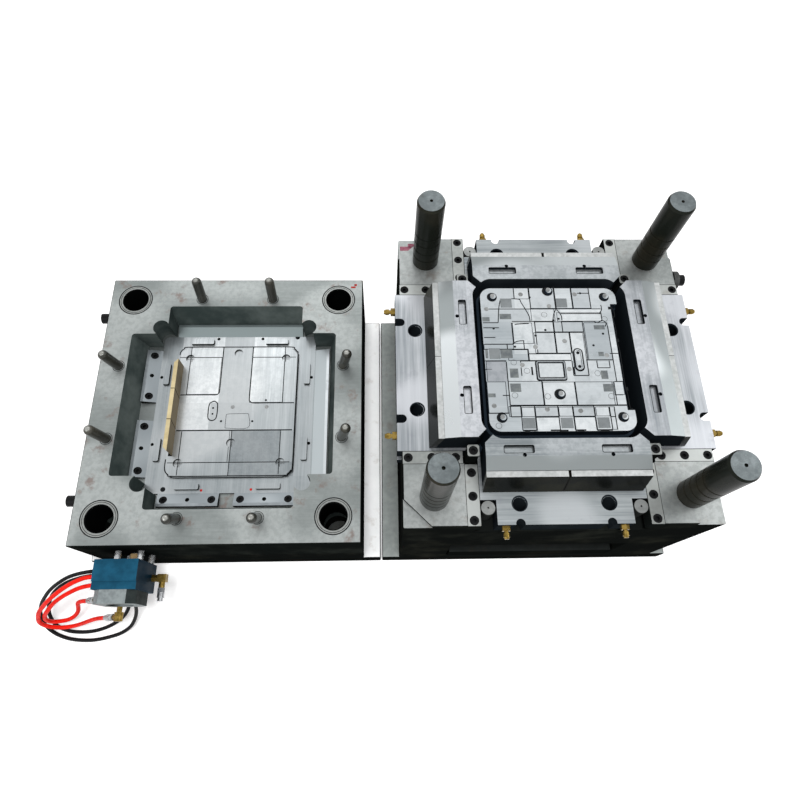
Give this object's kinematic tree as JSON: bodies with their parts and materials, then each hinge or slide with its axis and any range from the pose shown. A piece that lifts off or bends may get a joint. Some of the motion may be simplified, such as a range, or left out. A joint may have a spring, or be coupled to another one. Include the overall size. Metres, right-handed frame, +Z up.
{
  "type": "injection mould",
  "caption": "Two-plate injection mould laid open: cavity half with angle pins and hydraulic core pull, core half with four slides and ejectors.",
  "frame": {"origin": "centre of the core half's knock-out hole, on the underside of the core clamp plate", "axes": "+X right as laid out (the cavity half lies at -X), +Y away from the viewer, +Z up, the mould's opening direction"},
  "size_m": [1.5859, 0.9044, 0.662],
  "materials": {
    "plate_steel": "satin, oiled, lightly stained",
    "ground_steel": "ground and milled, bright",
    "dark_steel": "hardened and oiled, dark",
    "black_screws": "black oxide",
    "bronze": "sawn bronze, dull",
    "brass": "turned brass",
    "nickel": "nickel plated",
    "blue_paint": "gloss enamel",
    "grey_cast": "machined cast iron",
    "red_rubber": "smooth hose",
    "black_rubber": "smooth hose"
  },
  "bodies": {
    "core_half": {"core_clamp_plate": "plate_steel", "spacer_blocks": "plate_steel", "support_plate": "plate_steel", "core_plate": "plate_steel", "support_pillars": "plate_steel", "core_insert": "ground_steel", "core_panels": "ground_steel", "core_pins": "ground_steel", "guide_pillars": "dark_steel", "gib_strips": "ground_steel", "gib_screws": "black_screws", "corner_blocks": "ground_steel", "strap_screw": "black_screws"},
    "cavity_half": {"cavity_clamp_plate": "plate_steel", "locating_ring": "ground_steel", "sprue_bush": "ground_steel", "hot_runner_plate": "plate_steel", "manifold": "bronze", "nozzles": "dark_steel", "cavity_plate": "plate_steel", "guide_bushes": "ground_steel", "angle_pins": "dark_steel", "cavity_insert": "ground_steel", "cavity_panels": "ground_steel", "bronze_blade": "bronze", "wedge_blocks": "ground_steel", "locking_bars": "ground_steel", "cavity_cap_screws": "black_screws", "cylinder_posts": "ground_steel", "cylinder_body": "blue_paint", "cylinder_end_cap": "grey_cast", "port_elbows": "brass", "quick_couplers": "nickel", "red_hose_a": "red_rubber", "red_hose_b": "red_rubber", "black_hose_a": "black_rubber", "black_hose_b": "black_rubber"},
    "core_pull": {"pull_rod": "ground_steel", "rod_coupling": "bronze"},
    "ejector_plates": {"ejector_base_plate": "plate_steel", "ejector_retainer_plate": "plate_steel", "ejector_pins": "ground_steel", "return_pins": "ground_steel"},
    "front_lifters": {"lifters_front": "dark_steel"},
    "back_lifters": {"lifters_back": "dark_steel"},
    "left_lifter": {"lifters_left": "dark_steel"},
    "slide_left": {"slide_left": "ground_steel", "wear_plates_left": "dark_steel", "nipples_left": "brass"},
    "slide_right": {"slide_right": "ground_steel", "wear_plates_right": "dark_steel", "nipples_right": "brass"},
    "slide_front": {"slide_front": "ground_steel", "wear_plates_front": "dark_steel", "nipples_front": "brass"},
    "slide_back": {"slide_back": "ground_steel", "wear_plates_back": "dark_steel", "nipples_back": "brass"},
    "mould_strap": {"mould_strap": "ground_steel"}
  },
  "joints": [
    {"name": "cavity_lift", "type": "slide", "parent": "core_half", "child": "cavity_half", "axis": [0, 0, 1], "range_m": [0, 0.4]},
    {"name": "core_pull_stroke", "type": "slide", "parent": "cavity_half", "child": "core_pull", "axis": [0, -1, 0], "range_m": [0, 0.008]},
    {"name": "ejector_stroke", "type": "slide", "parent": "core_half", "child": "ejector_plates", "axis": [0, 0, 1], "range_m": [0, 0.07]},
    {"name": "front_lifter_shift", "type": "slide", "parent": "ejector_plates", "child": "front_lifters", "axis": [0, 1, 0], "range_m": [0, 0.00613]},
    {"name": "back_lifter_shift", "type": "slide", "parent": "ejector_plates", "child": "back_lifters", "axis": [0, -1, 0], "range_m": [0, 0.00613]},
    {"name": "left_lifter_shift", "type": "slide", "parent": "ejector_plates", "child": "left_lifter", "axis": [1, 0, 0], "range_m": [0, 0.00613]},
    {"name": "slide_left_close", "type": "slide", "parent": "core_half", "child": "slide_left", "axis": [1, 0, 0], "range_m": [0, 0.012]},
    {"name": "slide_right_close", "type": "slide", "parent": "core_half", "child": "slide_right", "axis": [-1, 0, 0], "range_m": [0, 0.012]},
    {"name": "slide_front_close", "type": "slide", "parent": "core_half", "child": "slide_front", "axis": [0, 1, 0], "range_m": [0, 0.012]},
    {"name": "slide_back_close", "type": "slide", "parent": "core_half", "child": "slide_back", "axis": [0, -1, 0], "range_m": [0, 0.012]},
    {"name": "strap_swing", "type": "hinge", "parent": "core_half", "child": "mould_strap", "pos_m": [0.3253, 0.239, 0.438], "axis": [1, 0, 0], "range_deg": [-15, 180]}
  ],
  "couplings": [
    {"joint": "front_lifter_shift", "follows": "ejector_stroke", "ratio": 0.0875},
    {"joint": "back_lifter_shift", "follows": "ejector_stroke", "ratio": 0.0875},
    {"joint": "left_lifter_shift", "follows": "ejector_stroke", "ratio": 0.0875}
  ]
}
